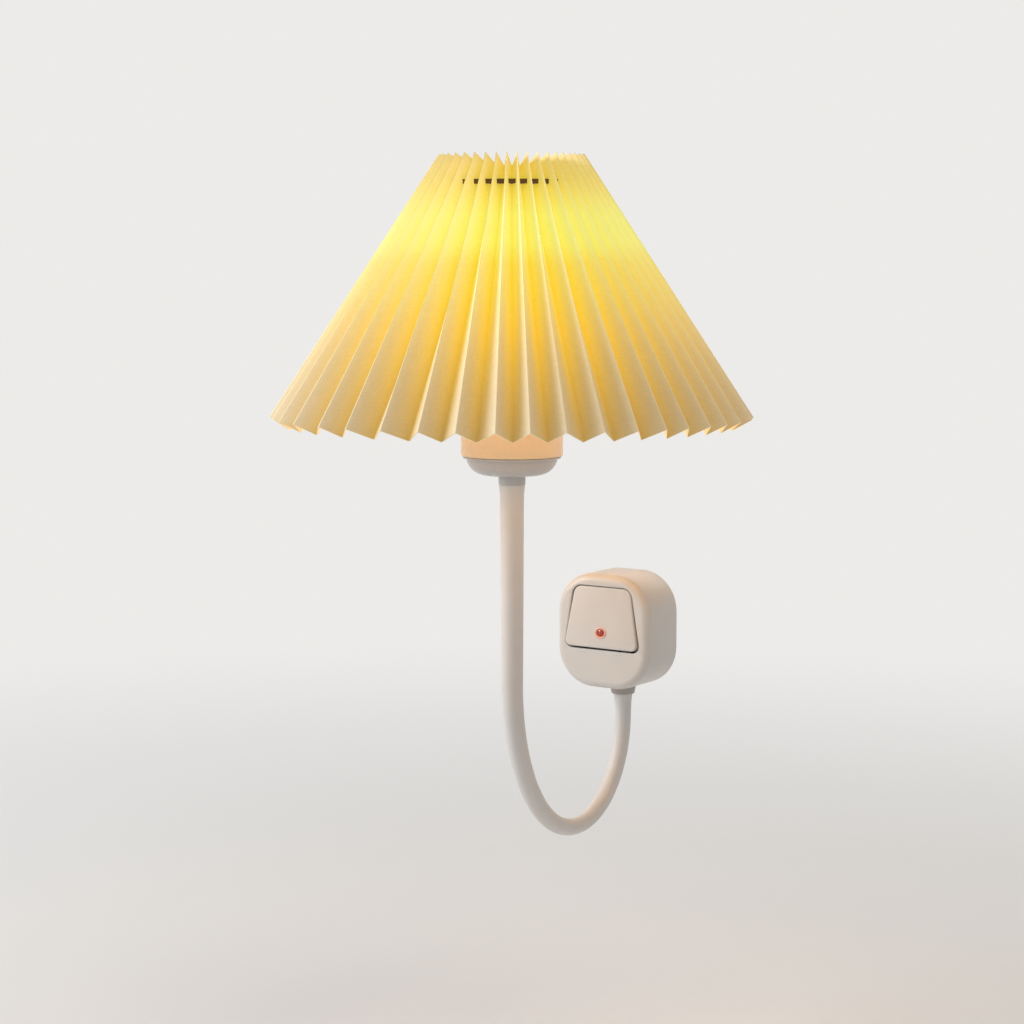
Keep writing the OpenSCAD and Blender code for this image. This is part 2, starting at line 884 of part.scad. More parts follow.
module lamp_socket() {
    under = skirt_top - 2;
    color([0.95, 0.94, 0.92])
        difference() {
            on_axis()
                rotate_extrude()
                    polygon([
                        [0, holder_bottom], [holder_radius - 1.6, holder_bottom],
                        [holder_radius, holder_bottom + 1.6], [holder_radius, under - 2.5],
                        [skirt_bore - 0.3, under - 2.5], [skirt_bore - 0.3, under],
                        [holder_radius, under], [holder_radius, holder_top],
                        [screw_bore, holder_top], [screw_bore, holder_floor], [0, holder_floor]
                    ]);
            for (x = [-3, 14.05])
                translate([x, head_y, holder_bottom - 1])
                    cylinder(r = lead_radius + seat_gap, h = 11);
        }
}

module screw_shell() {
    color(brass_paint)
        turned_ring(screw_bore - 0.8, screw_bore - seat_gap, holder_floor + 2, cap_top - 3);
}

module centre_contact() {
    color(brass_paint)
        translate([0, head_y, holder_floor]) {
            translate([-4.5, -2.5, 0]) cube([9, 5, 0.6]);
            cylinder(r = 2.4, h = tip_z - holder_floor);
        }
}

module retaining_ring() {
    color([0.93, 0.91, 0.87])
        turned_ring(holder_radius + pin_play, retainer_radius, fitter_top, fitter_top + retainer_height);
}

// Light source
module bulb_contact() {
    color(steel_paint)
        turned_ring(0, 3.2, tip_z, tip_z + 0.6);
}

module bulb_insulator() {
    color([0.12, 0.12, 0.13])
        on_axis()
            rotate_extrude()
                polygon([
                    [0, tip_z + 0.6], [5, tip_z + 0.6], [cap_radius - 0.2, cap_bottom],
                    [cap_radius - 0.6, cap_bottom], [cap_radius - 0.6, cap_bottom + 2], [0, cap_bottom + 2]
                ]);
}

module bulb_cap() {
    color(steel_paint)
        turned_ring(cap_radius - 0.5, cap_radius, cap_bottom, cap_top);
}

// Outline of the bulb's body from its neck up to the globe
function body_outline(inset) = [
    for (t = [0 : 0.125 : 1])
    [mix(cap_radius + 0.3, globe_radius, t * t * (3 - 2 * t)) - inset, mix(cap_top + 5.5, globe_z, t)]
];

module bulb_body() {
    color([0.95, 0.95, 0.93])
        on_axis()
            rotate_extrude()
                difference() {
                    polygon(concat(
                        [[0, cap_top - 7], [cap_radius - 0.6, cap_top - 7], [cap_radius - 0.6, cap_top],
                            [cap_radius + 0.3, cap_top]],
                        body_outline(0),
                        [[0, globe_z]]
                    ));
                    polygon(concat(
                        [[-1, cap_top - 8], [cap_radius - 1.8, cap_top - 8]],
                        body_outline(1.5),
                        [[globe_radius - 1.5, globe_z + 1], [-1, globe_z + 1]]
                    ));
                }
}

module led_board() {
    color([0.85, 0.86, 0.88])
        turned_ring(0, globe_radius - 2, globe_z - 1.6, globe_z - 0.2);
}

module bulb_globe() {
    inner = globe_radius - globe_wall;
    color([1, 0.96, 0.8])
        on_axis()
            rotate_extrude()
                difference() {
                    union() {
                        translate([0, globe_z]) square([globe_radius, globe_straight]);
                        intersection() {
                            translate([0, globe_z + globe_straight]) circle(globe_radius);
                            translate([0, globe_z + globe_straight]) square(globe_radius);
                        }
                    }
                    translate([-1, globe_z - 1]) square([inner + 1, globe_straight + 1]);
                    translate([0, globe_z + globe_straight]) circle(inner);
                }
}

// Shade and its frame
module shade_ring() {
    color([0.35, 0.25, 0.15])
        turned_ring(ring_inner, ring_radius, ring_bottom, ring_bottom + ring_thick);
}

module shade_legs() {
    rise = ring_bottom - fitter_top - 2 * leg_end;
    steps = 16;
    color(steel_paint)
        on_axis()
            for (turn = [34, 154, 274])
                rotate([0, 0, turn])
                    wire(
                        concat(
                            [[leg_low_radius, 0, fitter_top]],
                            [for (i = [0 : steps])
                                let (
                                    t = i / steps,
                                    s = t * t * (3 - 2 * t),
                                    bow = leg_bow * pow(sin(180 * t), 1.2)
                                )
                                [mix(leg_low_radius, leg_top_radius, s) + bow, 0, fitter_top + leg_end + rise * t]],
                            [[leg_top_radius, 0, ring_bottom]]
                        ),
                        wire_diameter / 2, 12, [0, 1, 0]
                    );
}

module fitter_ring() {
    color(steel_paint)
        turned_ring(holder_radius + seat_gap, fitter_radius, skirt_top, fitter_top);
}

// A point of the pleated cloth, outer face first and then the inner face
function cloth_point(face, row, fold) =
    let (
        t = row / shade_rows,
        outer = mix(top_outer, low_outer, t),
        inner = mix(top_inner, low_inner, t),
        depth = norm(outer - inner),
        half_pitch = PI * (outer[0] + inner[0]) / 2 / pleats,
        shift = face == 0 ? 0 : -cloth_thick * sqrt(1 + pow(depth / half_pitch, 2)),
        q = (fold % 2 == 0 ? inner : outer) + shift * (outer - inner) / depth,
        a = pleat_turn + 180 * fold / pleats
    )
    [q[0] * cos(a), q[0] * sin(a), q[1]];

// Pleated cloth folded square to its slant, notched over the ring
module pleated_shade() {
    layer = (shade_rows + 1) * folds;
    color(cloth_paint)
        on_axis()
            difference() {
                polyhedron(
                    points = [
                        for (face = [0, 1], row = [0 : shade_rows], fold = [0 : folds - 1])
                        cloth_point(face, row, fold)
                    ],
                    faces = concat(
                        [for (row = [0 : shade_rows - 1], fold = [0 : folds - 1])
                            let (
                                a = row * folds + fold,
                                b = row * folds + (fold + 1) % folds,
                                c = b + folds,
                                d = a + folds
                            )
                            each [[a, b, c], [a, c, d], [layer + a, layer + c, layer + b],
                                [layer + a, layer + d, layer + c]]],
                        [for (fold = [0 : folds - 1])
                            let (
                                a = fold,
                                b = (fold + 1) % folds,
                                e = shade_rows * folds
                            )
                            each [[layer + a, layer + b, b], [layer + a, b, a],
                                [e + a, e + b, layer + e + b], [e + a, layer + e + b, layer + e + a]]]
                    ),
                    convexity = 20
                );
                rotate_extrude()
                    translate([ring_inner, ring_bottom - seat_gap])
                        square([ring_radius + seat_gap - ring_inner, ring_thick + 2 * seat_gap]);
            }
}

plug_shell();
rear_cover();
cover_screws();
blade_live();
blade_neutral();
rocker();
indicator_lens();
neon_lamp();
switch_plunger();
switch_base();
contact_lever();
terminal_common();
terminal_line();
exit_bush();
lower_locknut();
sleeve_outlet();
sleeve_base_bend();
sleeve_lower();
sleeve_u_bend();
sleeve_riser();
sleeve_head_bend();
sleeve_top();
gooseneck_core();
lead_live();
lead_neutral();
lead_switched();
upper_ferrule();
cup();
cup_washer();
cup_locknut();
holder_skirt();
lamp_socket();
screw_shell();
centre_contact();
retaining_ring();
bulb_contact();
bulb_insulator();
bulb_cap();
bulb_body();
led_board();
bulb_globe();
shade_ring();
shade_legs();
fitter_ring();
pleated_shade();
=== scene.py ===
import math
from collections import namedtuple
import bmesh
import bpy
from mathutils import Matrix, Vector


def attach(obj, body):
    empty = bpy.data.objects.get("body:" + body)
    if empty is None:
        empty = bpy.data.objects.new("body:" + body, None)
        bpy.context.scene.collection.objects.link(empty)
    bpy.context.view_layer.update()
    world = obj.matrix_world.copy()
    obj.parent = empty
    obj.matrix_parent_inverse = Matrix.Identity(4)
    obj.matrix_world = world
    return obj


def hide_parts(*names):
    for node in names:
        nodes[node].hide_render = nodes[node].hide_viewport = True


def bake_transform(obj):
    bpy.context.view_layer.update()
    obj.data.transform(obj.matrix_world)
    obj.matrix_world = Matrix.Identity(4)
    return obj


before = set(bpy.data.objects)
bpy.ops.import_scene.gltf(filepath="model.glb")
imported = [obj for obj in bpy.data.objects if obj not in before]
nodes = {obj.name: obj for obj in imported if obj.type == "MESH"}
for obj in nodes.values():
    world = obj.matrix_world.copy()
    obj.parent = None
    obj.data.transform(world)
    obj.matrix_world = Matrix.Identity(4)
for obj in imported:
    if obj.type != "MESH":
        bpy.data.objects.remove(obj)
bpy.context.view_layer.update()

# Sizes of the part's source, in metres
MM = 0.001
PLUG_WIDTH, PLUG_HEIGHT, PLUG_DEPTH = 54 * MM, 58 * MM, 30 * MM
PLUG_CORNER, PLUG_EDGE, PLUG_WALL = 20 * MM, 4 * MM, 2 * MM
COVER_PROUD = 1.2 * MM
EXIT_Y, EXIT_Z = -9 * MM, -29 * MM
BUSH_BORE = 4.1 * MM
ROCKER_TOP, ROCKER_LOW, ROCKER_HEIGHT = 32.5 * MM, 43 * MM, 31 * MM
ROCKER_CORNER, ROCKER_GAP, ROCKER_TILT = 4 * MM, 0.7 * MM, math.radians(3.5)
ROCKER_FACE, ROCKER_THICK, ROCKER_EDGE = 6.6 * MM, 4 * MM, 0.8 * MM
PIVOT = Vector((0, -24 * MM, 6.8 * MM))
HUB_SIZE, HUB_BACK = (26 * MM, 6.1 * MM, 16 * MM), 0.45 * MM
AXLE_RADIUS, AXLE_LENGTH = 1.4 * MM, 31.6 * MM
LENS_Z, LENS_RADIUS, LENS_SEAT, LENS_PLAY = -7.7 * MM, 2.3 * MM, 2.6 * MM, 0.05 * MM
OUTLET_Z, BEND_Z, LOW_Z = -31.2 * MM, -45.2 * MM, -94.7 * MM
FOOT_Z, NECK_TOP_Z = -13.2 * MM, 80.8 * MM
LOW_Y, HEAD_Y = -52.5 * MM, -110.5 * MM
BEND_OUT, BEND_IN = EXIT_Y - LOW_Y, LOW_Y - HEAD_Y
SLEEVE_WALL = 1 * MM
CORE_RADIUS, CORE_WALL, CORE_LOW_Z, CORE_TOP_Z = 2.9 * MM, 0.75 * MM, -25.5 * MM, 84 * MM
LEAD_RADIUS, LEAD_OFFSET = 0.8 * MM, 1.075 * MM
FITTER_TOP, RING_BOTTOM = 134.1 * MM, 220.4 * MM
LEG_LOW, LEG_TOP, LEG_END, LEG_BOW, LEG_RADIUS = 25 * MM, 24 * MM, 3 * MM, 15 * MM, 1.2 * MM
LEG_TURNS = (34, 154, 274)
PLEATS, PLEAT_TURN = 44, -56

# Places closer than this are one place
TINY = 1e-6


# Modelling
def new_object(name, data):
    """Puts a new object into the scene."""
    piece = bpy.data.objects.new(name, data)
    bpy.context.scene.collection.objects.link(piece)
    return piece


def deselect():
    if bpy.context.mode != "OBJECT":
        bpy.ops.object.mode_set(mode="OBJECT")
    bpy.ops.object.select_all(action="DESELECT")


def take(piece):
    """Selects one piece alone and makes it the active one."""
    deselect()
    piece.select_set(True)
    bpy.context.view_layer.objects.active = piece


def call_it(name):
    piece = bpy.context.object
    piece.name = piece.data.name = name
    return piece


def fix_place():
    """Moves the active piece's place, turn and scale into its mesh."""
    bpy.ops.object.transform_apply(location=True, rotation=True, scale=True)


def open_mesh(piece):
    take(piece)
    bpy.ops.object.mode_set(mode="EDIT")
    bpy.ops.mesh.select_all(action="DESELECT")


def choose(piece, kind, test):
    """Selects the vertices, edges or faces that pass a test."""
    bpy.ops.mesh.select_mode(type={"verts": "VERT", "edges": "EDGE", "faces": "FACE"}[kind])
    shape = bmesh.from_edit_mesh(piece.data)
    for item in getattr(shape, kind):
        item.select_set(test(item))
    shape.select_flush_mode()
    bmesh.update_edit_mesh(piece.data)


def round_edges(width, segments):
    """Rounds the selected edges."""
    bpy.ops.mesh.bevel(offset_type="OFFSET", offset=width, segments=segments, profile=0.5, affect="EDGES")


def close_mesh(piece, smooth=35):
    """Leaves a piece in its place with every edge under an angle shaded smooth."""
    take(piece)
    fix_place()
    bpy.ops.object.shade_smooth_by_angle(angle=math.radians(smooth))
    return piece


def modify(piece, kind, **settings):
    """Adds a modifier and applies it."""
    take(piece)
    modifier = piece.modifiers.new(kind.lower(), kind)
    for name, value in settings.items():
        setattr(modifier, name, value)
    bpy.ops.object.modifier_apply(modifier=modifier.name)


def cut(piece, tool):
    modify(piece, "BOOLEAN", object=tool, operation="DIFFERENCE", solver="EXACT")
    bpy.data.objects.remove(tool)


def box(name, size, place):
    deselect()
    bpy.ops.mesh.primitive_cube_add(size=1, location=place, scale=size)
    piece = call_it(name)
    fix_place()
    return piece


def cylinder(name, radius, length, place, turn, sides):
    deselect()
    bpy.ops.mesh.primitive_cylinder_add(vertices=sides, radius=radius, depth=length,
                                        location=place, rotation=turn)
    piece = call_it(name)
    fix_place()
    return piece


def rounded_bar(name, top, low, height, corner, front, back, middle_z):
    """A bar along Y with a rounded trapezoid for its section, left open for more editing."""
    bar = box(name, (low, back - front, height), (0, (front + back) / 2, middle_z))
    open_mesh(bar)
    choose(bar, "verts", lambda v: v.co.z > middle_z)
    bpy.ops.transform.resize(value=(top / low, 1, 1), center_override=(0, 0, middle_z))
    choose(bar, "edges", lambda e: abs(e.verts[0].co.y - e.verts[1].co.y) > TINY)
    round_edges(corner, segments=10)
    return bar


def on_face(y):
    """A test for the edges that lie on a bar's end."""
    return lambda e: all(abs(v.co.y - y) < TINY for v in e.verts)


def ease(value, start, end):
    """Rises smoothly from 0 at the start to 1 at the end."""
    t = min(max((value - start) / (end - start), 0), 1)
    return t * t * (3 - 2 * t)


UPRIGHT, ALONG_X, ALONG_Y = (0, 0, 0), (0, math.pi / 2, 0), (math.pi / 2, 0, 0)

# Camera at the photograph's angle and distance, aimed at the lamp's axis
AZIMUTH, PITCH = math.radians(34), math.radians(-6.15)
CAMERA_AWAY, CAMERA_Z = 1.12, 188.5 * MM
FOCAL_PIXELS, PHOTO_PIXELS, SENSOR_MM = 2387, 1024, 36
camera = new_object("camera", bpy.data.cameras.new("camera"))
camera.location = (CAMERA_AWAY * math.sin(AZIMUTH), HEAD_Y - CAMERA_AWAY * math.cos(AZIMUTH), CAMERA_Z)
camera.rotation_euler = (math.pi / 2 + PITCH, 0, AZIMUTH)
camera.data.sensor_width = SENSOR_MM
camera.data.lens = FOCAL_PIXELS / PHOTO_PIXELS * SENSOR_MM
bpy.context.scene.camera = camera

# Plug case: a rounded box with a window for the rocker, open at the back
FRONT, REAR = -PLUG_DEPTH, -COVER_PROUD
CUT_REACH = 5 * MM
case = rounded_bar("plug_case", PLUG_WIDTH, PLUG_WIDTH, PLUG_HEIGHT, PLUG_CORNER, FRONT, REAR, 0)
choose(case, "edges", on_face(FRONT))
round_edges(PLUG_EDGE, segments=10)
choose(case, "faces", lambda f: abs(f.calc_center_median().y - REAR) < TINY)
bpy.ops.mesh.delete(type="FACE")
modify(case, "SOLIDIFY", thickness=PLUG_WALL, offset=-1, use_even_offset=True)
window = rounded_bar("window", ROCKER_TOP + 2 * ROCKER_GAP, ROCKER_LOW + 2 * ROCKER_GAP,
                     ROCKER_HEIGHT + 2 * ROCKER_GAP, ROCKER_CORNER + ROCKER_GAP,
                     FRONT - CUT_REACH, FRONT + CUT_REACH, PIVOT.z)
cut(case, window)
cut(case, cylinder("outlet", BUSH_BORE, 2 * CUT_REACH, (0, EXIT_Y, EXIT_Z), UPRIGHT, sides=48))
modify(case, "BEVEL", width=0.5 * MM, segments=3, limit_method="ANGLE", angle_limit=math.radians(50))
close_mesh(case)

# Rocker: a rounded paddle with its hub and stub axles, tilted as it rests
paddle_front = PIVOT.y - ROCKER_FACE
lens_place = Vector((0, paddle_front, PIVOT.z + LENS_Z))
rest_tilt = Matrix.Translation(PIVOT) @ Matrix.Rotation(-ROCKER_TILT, 4, "X") @ Matrix.Translation(-PIVOT)
paddle = rounded_bar("rocker_paddle", ROCKER_TOP, ROCKER_LOW, ROCKER_HEIGHT, ROCKER_CORNER,
                     paddle_front, paddle_front + ROCKER_THICK, PIVOT.z)
choose(paddle, "edges", on_face(paddle_front))
round_edges(ROCKER_EDGE, segments=4)
cut(paddle, cylinder("lens_seat", LENS_RADIUS + LENS_PLAY, 2 * LENS_SEAT, lens_place, ALONG_Y, sides=48))
hub = box("hub", HUB_SIZE, PIVOT + Vector((0, HUB_BACK, 0)))
modify(hub, "BEVEL", width=0.6 * MM, segments=2)
axle = cylinder("axle", AXLE_RADIUS, AXLE_LENGTH, PIVOT, ALONG_X, sides=32)
modify(axle, "BEVEL", width=0.3 * MM, segments=2, limit_method="ANGLE")
take(paddle)
hub.select_set(True)
axle.select_set(True)
bpy.ops.object.join()
paddle.data.transform(rest_tilt)
close_mesh(paddle)


# Neck: a tube drawn along the bend, in three lengths that meet in the stiff stretches
def bend_point(turn):
    """A point of the bend: 0 to 90 degrees on the plug's side, 90 to 180 on the lamp's."""
    a = math.radians(turn)
    if turn <= 90:
        return Vector((0, LOW_Y + BEND_OUT * math.cos(a), BEND_Z - (BEND_Z - LOW_Z) * math.sin(a)))
    return Vector((0, LOW_Y + BEND_IN * math.cos(a), FOOT_Z - (FOOT_Z - LOW_Z) * math.sin(a)))


def straight(y, low, high, steps):
    return [Vector((0, y, low + (high - low) * i / steps)) for i in range(steps + 1)]


def bend_stop(turn):
    """Which stop of the whole route is the bend's point at a turn."""
    return len(drop) + turn // TURN_STEP


TURN_STEP, RISE_STOPS = 2, 15
drop = straight(EXIT_Y, OUTLET_Z, BEND_Z, steps=8)[:-1]
rise = straight(HEAD_Y, FOOT_Z, NECK_TOP_Z, steps=47)[1:]
whole = drop + [bend_point(turn) for turn in range(0, 181, TURN_STEP)] + rise
CUT_LOW = bend_stop(54)
CUT_RISE = bend_stop(180) + RISE_STOPS
stretches = {
    "outlet": range(0, CUT_LOW + 1),
    "bend": range(CUT_LOW, CUT_RISE + 1),
    "riser": range(CUT_RISE, len(whole)),
}


def blend_at(piece):
    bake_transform(piece)


travelled = [0]
for a, b in zip(whole, whole[1:]):
    travelled.append(travelled[-1] + (b - a).length)
to_low = travelled[bend_stop(90)]
to_foot = travelled[bend_stop(180)]
to_top = travelled[-1]
# The sleeve's radius in millimetres at distances along the neck
SLEEVE = [(0, 5.2), (3 * MM, 4.85), (7 * MM, 4.38), (14 * MM, 4.15), (to_low, 4.1), (to_foot, 5.3),
          (to_top - 9 * MM, 5.65), (to_top - 4 * MM, 5.8), (to_top, 6.2)]


def sleeve_radius(i):
    distance = travelled[i]
    for (d0, r0), (d1, r1) in zip(SLEEVE, SLEEVE[1:]):
        if distance <= d1:
            return (r0 + (r1 - r0) * (distance - d0) / (d1 - d0)) * MM
    return SLEEVE[-1][1] * MM


def lean(i):
    """Turn about X that faces a ring along the neck."""
    way = whole[min(i + 1, len(whole) - 1)] - whole[max(i - 1, 0)]
    return math.atan2(-way.y, way.z)


def drawn_tube(name, route, leans, radii, sides, wall):
    """A ring pulled from stop to stop, turned and sized at each, then given its wall."""
    deselect()
    bpy.ops.mesh.primitive_circle_add(vertices=sides, radius=radii[0], location=route[0],
                                      rotation=(leans[0], 0, 0))
    tube = call_it(name)
    fix_place()
    bpy.ops.object.mode_set(mode="EDIT")
    bpy.ops.mesh.select_all(action="SELECT")
    for i in range(1, len(route)):
        bpy.ops.mesh.extrude_region_move(TRANSFORM_OT_translate={"value": route[i] - route[i - 1]})
        turn = (leans[i] - leans[i - 1] + math.pi) % (2 * math.pi) - math.pi
        bpy.ops.transform.rotate(value=-turn, orient_axis="X", orient_type="GLOBAL",
                                 center_override=route[i])
        bpy.ops.transform.resize(value=(radii[i] / radii[i - 1],) * 3, center_override=route[i])
    bpy.ops.mesh.select_all(action="SELECT")
    bpy.ops.mesh.normals_make_consistent(inside=False)
    modify(tube, "SOLIDIFY", thickness=wall, offset=-1)
    return close_mesh(tube, smooth=60)


sleeves, cores = [], []
for stretch, stops in stretches.items():
    route = [whole[i] for i in stops]
    leans = [lean(i) for i in stops]
    radii = [sleeve_radius(i) for i in stops]
    tube = drawn_tube("sleeve_" + stretch + "_tube", route, leans, radii, sides=48, wall=SLEEVE_WALL)
    blend_at(tube)
    sleeves.append(tube)
    if stretch == "outlet":
        route, leans = [Vector((0, EXIT_Y, CORE_LOW_Z))] + route, leans[:1] + leans
    if stretch == "riser":
        route, leans = route + [Vector((0, HEAD_Y, CORE_TOP_Z))], leans + leans[-1:]
    radii = [CORE_RADIUS] * len(route)
    tube = drawn_tube("core_" + stretch, route, leans, radii, sides=24, wall=CORE_WALL)
    blend_at(tube)
    cores.append(tube)
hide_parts("sleeve_outlet", "sleeve_base_bend", "sleeve_lower")
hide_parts("sleeve_u_bend")
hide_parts("sleeve_riser", "sleeve_head_bend", "sleeve_top")
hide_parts("gooseneck_core")


# Leads: wires through the neck from the blades and the switch to the lamp holder
def wire(name, points, radius):
    curve = bpy.data.curves.new(name, "CURVE")
    curve.dimensions = "3D"
    curve.bevel_depth = radius
    curve.bevel_resolution = 3
    curve.use_fill_caps = True
    spline = curve.splines.new("POLY")
    spline.points.add(len(points) - 1)
    for spot, point in zip(spline.points, points):
        spot.co = (*point, 1)
    take(new_object(name, curve))
    bpy.ops.object.convert(target="MESH")
    return close_mesh(bpy.context.object, smooth=50)


# Each lead's two ends in millimetres, one inside the plug and one inside the lamp holder
LEAD_ENDS = {
    "neutral": (
        [(6.35, -7, -2), (6.35, -7, -4), (5.55, -7.6, -8), (3.35, -8.6, -13), (1.4, -9, -16.2),
         (1.075, -9, -18), (1.075, -9, -25.5)],
        [(1.075, -110.5, 84), (1.075, -110.5, 94.4), (1.575, -110.5, 95.2), (3.075, -110.5, 96),
         (6, -110.5, 96.6), (12, -110.5, 96.9), (13.5, -110.5, 97.3), (14.05, -110.5, 97.9),
         (14.05, -110.5, 108.5)],
    ),
    "switched": (
        [(-1, -8.8, 6.8), (-1.8, -8.8, 6.8), (-2.5, -9, 6.2), (-2.8, -9.3, 4.6), (-2.8, -9.3, -3),
         (-2.2, -9.15, -10), (-1.4, -9, -16.2), (-1.075, -9, -18), (-1.075, -9, -25.5)],
        [(-1.075, -110.5, 84), (-1.075, -110.5, 94.4), (-1.475, -110.5, 95.2), (-2.3, -110.5, 96.3),
         (-3, -110.5, 97.3), (-3, -110.5, 106.5)],
    ),
}
leads = {}
for lead, ends in LEAD_ENDS.items():
    first, last = [[Vector(point) * MM for point in points] for points in ends]
    side = Vector((LEAD_OFFSET if lead == "neutral" else -LEAD_OFFSET, 0, 0))
    leads[lead] = []
    for stretch, stops in stretches.items():
        points = [whole[i] + side for i in stops]
        if stretch == "outlet":
            points = first + points
        if stretch == "riser":
            points = points + last
        piece = wire("lead_" + lead + "_" + stretch, points, LEAD_RADIUS)
        blend_at(piece)
        leads[lead].append(piece)
    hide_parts("lead_" + lead)

# Shade frame: three bowed wires between the fitter and the ring
LEG_STEPS = 32
leg_rise = RING_BOTTOM - FITTER_TOP - 2 * LEG_END
leg_route = [Vector((0, HEAD_Y + LEG_LOW, FITTER_TOP))]
for i in range(LEG_STEPS + 1):
    t = i / LEG_STEPS
    bow = LEG_BOW * max(math.sin(math.pi * t), 0) ** 1.2
    reach = LEG_LOW + (LEG_TOP - LEG_LOW) * ease(t, 0, 1) + bow
    leg_route.append(Vector((0, HEAD_Y + reach, FITTER_TOP + LEG_END + leg_rise * t)))
leg_route.append(Vector((0, HEAD_Y + LEG_TOP, RING_BOTTOM)))
legs = []
axis = Matrix.Translation((0, HEAD_Y, 0))
for count, turn in enumerate(LEG_TURNS):
    leg = wire("shade_wire_" + str(count + 1), leg_route, LEG_RADIUS)
    leg.data.transform(axis @ Matrix.Rotation(math.radians(turn - 90), 4, "Z") @ axis.inverted())
    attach(leg, "head")
    legs.append(leg)
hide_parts("shade_legs")

# Pleated shade: one strip of cloth on clear film, folded square to its slant and notched over the ring
# Radius and height of the inner and outer folds at the strip's lower and upper edges
IN_LOW, OUT_LOW = Vector((105.79, 108.81)) * MM, Vector((113, 113.5)) * MM
IN_TOP, OUT_TOP = Vector((24.44, 228.79)) * MM, Vector((34, 235)) * MM
STRIP_LENGTH, STRIP_WIDTH, CLOTH = 1.021, 0.145, 0.35 * MM
# Shares of a panel's width where its points stand, close together at the folds
ACROSS = [0, 0.03, 0.08, 0.17, 0.3, 0.42, 0.54, 0.69, 0.83, 0.92, 0.97, 1]
RIDGE_SOFT, VALLEY_SOFT = 0.04, 0.05
# Heights of the rows in millimetres
ROW_LOW, ROW_STEP, ROW_COUNT, ROW_TOP = 115.6, 3.35, 31, 225.2
NOTCH_LOW, NOTCH_TOP, NOTCH_SHARE = 220.35, 222.65, 0.54
HEIGHTS = [ROW_LOW + ROW_STEP * i for i in range(ROW_COUNT)] + [NOTCH_LOW, NOTCH_TOP, ROW_TOP]
LEFT_SPREAD, RIGHT_SPREAD = 9, 3
LEAST_PITCH = 0.2


def crease(f):
    """How far across the depth of a pleat a point lies, with both folds eased."""
    if f > 1 - RIDGE_SOFT:
        return 1 - RIDGE_SOFT / 2 - (1 - f) ** 2 / (2 * RIDGE_SOFT)
    if f < VALLEY_SOFT:
        return VALLEY_SOFT / 2 + f * f / (2 * VALLEY_SOFT)
    return f


def spread(turn):
    """The pleats lie wider on the front's left side and closer on its right."""
    left = (PLEAT_TURN - turn + 180) % 360 - 180
    wider = LEFT_SPREAD * ease(left, 15, 75) * (1 - ease(left, 75, 180))
    closer = RIGHT_SPREAD * ease(-left, 25, 60) * (1 - ease(-left, 70, 180))
    return turn - wider - closer


def fold_place(fold, height):
    """A fold's point at a height, or at the strip's low or top edge, and its share of the strip's width.

    Waves of unlike lengths round the shade give the small unevenness of hand pleating.
    """
    low, top = (OUT_LOW, OUT_TOP) if fold % 2 else (IN_LOW, IN_TOP)
    share = {"low": 0, "top": 1}.get(height)
    if share is None:
        share = (height * MM - low.y) / (top.y - low.y)
    radius, z = low.lerp(top, share)
    loose = 1 - 0.8 * share
    k = fold % (2 * PLEATS)
    swell = 0.45 * math.sin(2.1 * k) + 0.3 * math.sin(5.3 * k + 1) + 0.35
    radius += swell * MM * loose * (1 if fold % 2 else 0.5)
    stray = 0.3 * math.sin(3.7 * k) + 0.2 * math.sin(1.3 * k + 2)
    a = math.radians(spread(PLEAT_TURN + 180 * k / PLEATS + stray * loose))
    return Vector((radius * math.cos(a), HEAD_Y + radius * math.sin(a), z)), share


shade = new_object("shade_cloth", bpy.data.meshes.new("shade_cloth"))
shape = bmesh.new()
fold_layer = shape.verts.layers.float.new("fold")
strip_layer = shape.loops.layers.uv.new("strip")
out_way = (OUT_LOW - IN_LOW).normalized()
pleat_depth = (OUT_LOW - IN_LOW).length
Spot = namedtuple("Spot", "outer inner along depth level")
rows = ["low"] + HEIGHTS + ["top"]
grid = []
for row in rows:
    line = []
    for fold in range(2 * PLEATS):
        (a, level), (b, _) = fold_place(fold, row), fold_place(fold + 1, row)
        inward = fold % 2 == 1
        shares = [1 - f for f in reversed(ACROSS)] if inward else ACROSS
        half_pitch = max((b - a).length * LEAST_PITCH, math.pi * math.hypot(a.x, a.y - HEAD_Y) / PLEATS)
        inset = CLOTH * math.sqrt(1 + (pleat_depth / half_pitch) ** 2)
        for f in shares[:-1]:
            depth = 1 - f if inward else f
            flat = a.lerp(b, f)
            radial = Vector((flat.x, flat.y - HEAD_Y, 0)).normalized()
            outward = radial * out_way.x + Vector((0, 0, out_way.y))
            place = flat + outward * ((crease(depth) - depth) * pleat_depth)
            outer, inner = shape.verts.new(place), shape.verts.new(place - outward * inset)
            outer[fold_layer] = inner[fold_layer] = depth
            line.append(Spot(outer, inner, (fold + f) / (2 * PLEATS), depth, level))
    grid.append(line)
columns = len(grid[0])
OUTSIDE, EDGE, INSIDE = 0, 1, 2


def cloth_face(corners, places, side):
    """A face with its corners' places on the flat strip."""
    face = shape.faces.new(corners)
    face.smooth = True
    face.material_index = side
    for loop, place in zip(face.loops, places):
        loop[strip_layer].uv = place
    return face


